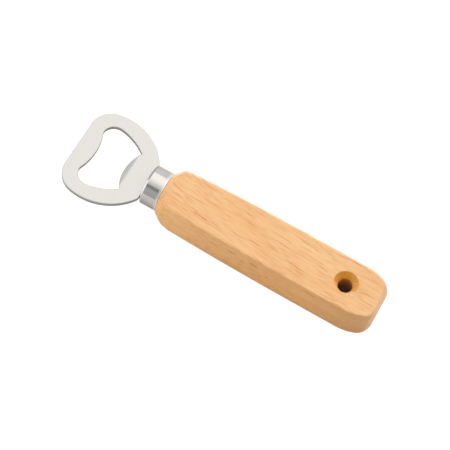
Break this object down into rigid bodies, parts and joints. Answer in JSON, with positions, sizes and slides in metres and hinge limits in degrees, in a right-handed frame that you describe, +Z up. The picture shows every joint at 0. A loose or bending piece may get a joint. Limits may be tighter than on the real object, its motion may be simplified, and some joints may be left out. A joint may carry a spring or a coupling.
{
  "type": "bottle opener",
  "caption": "Flat stamped steel opener head with a shaped mouth and a turned-down cap lip, set through a round polished ferrule into a straight wooden handle with a countersunk hanging hole.",
  "frame": {"origin": "middle of the opener's length and width, on the plane the handle's flat underside lies on", "axes": "+X along the opener toward the handle's butt with the head at -X, +Y across it, +Z up out of the handle's top face"},
  "size_m": [0.139, 0.0408, 0.0188],
  "materials": {
    "blade_steel": "tumbled satin stainless, tips of the edges brighter",
    "ferrule_steel": "polished drawn steel",
    "handle_wood": "smooth sanded light wood with a thin satin lacquer, grain along the handle",
    "adhesive": "cured resin, hidden in the handle"
  },
  "bodies": {
    "root": {"opener_blade": "blade_steel", "ferrule": "ferrule_steel", "handle": "handle_wood", "tang_adhesive": "adhesive"}
  },
  "joints": []
}
